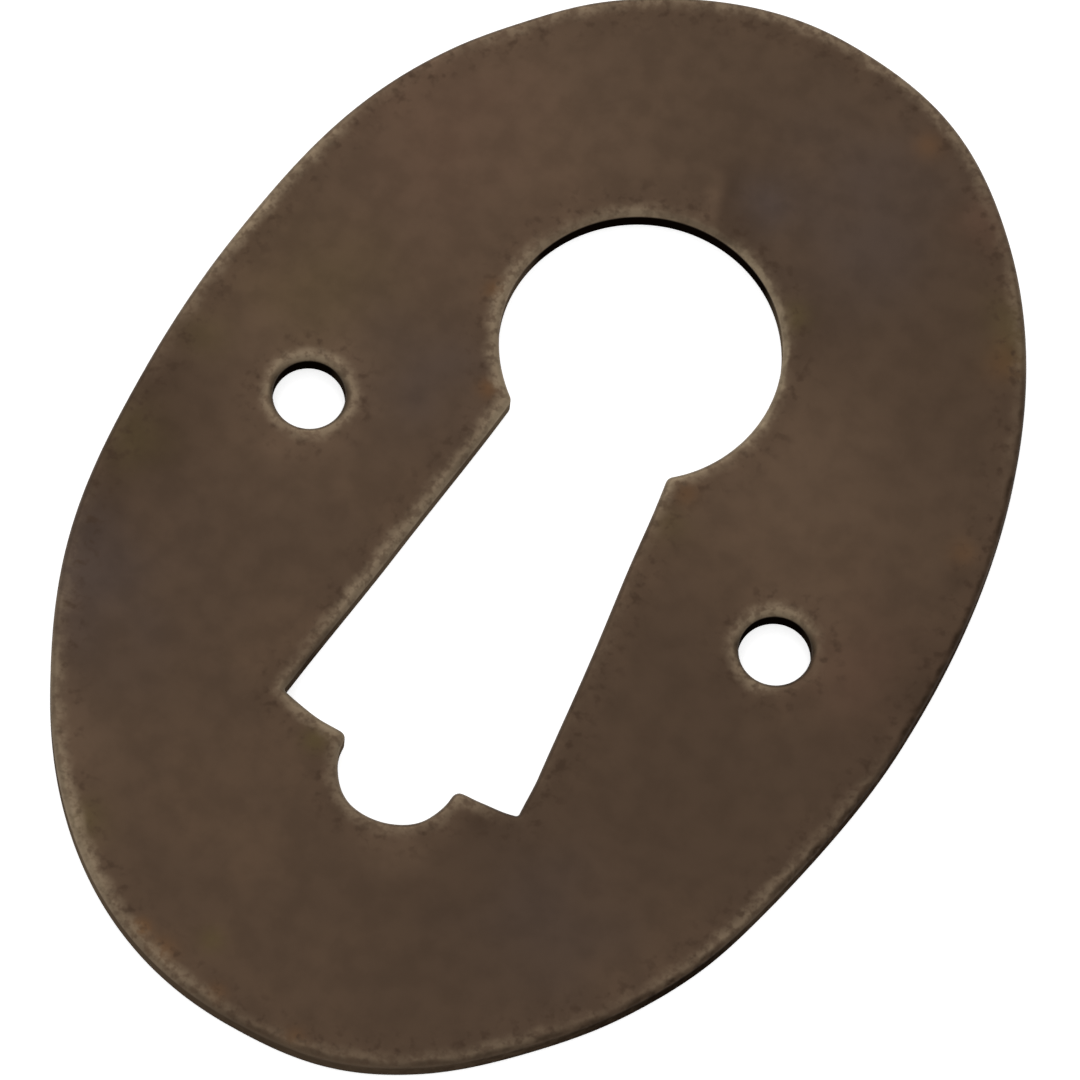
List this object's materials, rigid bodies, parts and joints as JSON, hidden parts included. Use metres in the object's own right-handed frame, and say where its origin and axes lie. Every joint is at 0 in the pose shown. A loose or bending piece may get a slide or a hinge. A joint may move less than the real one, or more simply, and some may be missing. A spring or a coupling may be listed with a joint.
{
  "type": "keyhole escutcheon",
  "caption": "Flat oval keyhole escutcheon of thin dark brass, with a flared keyhole that has an arc foot and round notch, and a pin hole each side.",
  "frame": {"origin": "centre of the oval, on the back face", "axes": "+Z out of the front face; +Y up the oval, towards the round head of the keyhole"},
  "size_m": [0.0264, 0.038, 0.0008],
  "materials": {
    "patinated_brass": "dark antique brown patina, satin, worn paler along the rolled edges"
  },
  "bodies": {
    "root": {"escutcheon_plate": "patinated_brass"}
  },
  "joints": []
}
